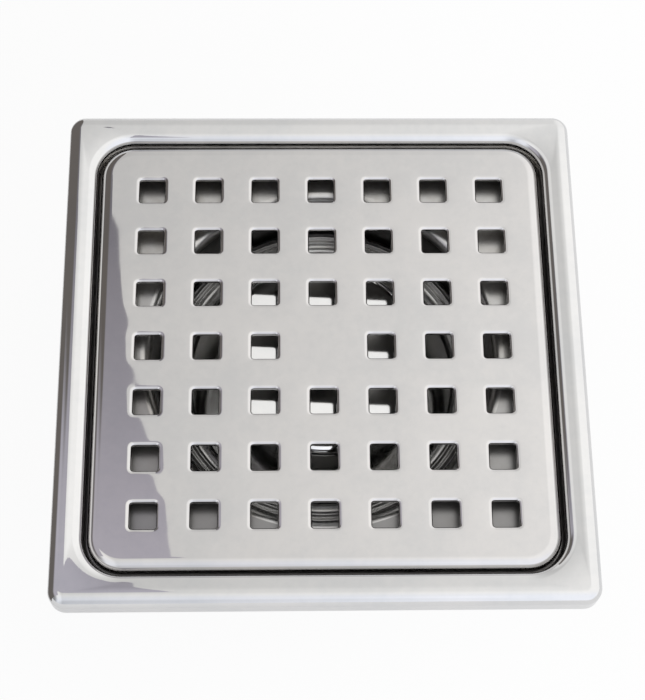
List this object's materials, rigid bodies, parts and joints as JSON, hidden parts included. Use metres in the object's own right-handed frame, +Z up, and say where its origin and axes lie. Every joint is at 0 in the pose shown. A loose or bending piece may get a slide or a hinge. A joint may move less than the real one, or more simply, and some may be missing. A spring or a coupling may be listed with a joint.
{
  "type": "floor drain",
  "caption": "Square stainless floor drain: perforated grating resting in a pressed frame, over a round bowl with a lift-out bell water trap and an outlet spigot.",
  "frame": {"origin": "on the outlet's axis, at the spigot's lower end", "axes": "+Z up along the outlet's axis, X and Y along the sides of the square rim"},
  "size_m": [0.127, 0.127, 0.0618],
  "materials": {
    "frame_steel": "polished",
    "grating_steel": "polished",
    "trap_steel": "satin",
    "seal_rubber": "matt"
  },
  "bodies": {
    "root": {"frame": "frame_steel", "grating": "grating_steel", "trap_cup": "trap_steel", "standpipe": "trap_steel", "bell": "trap_steel", "cup_seal": "seal_rubber", "spigot": "frame_steel"}
  },
  "joints": []
}
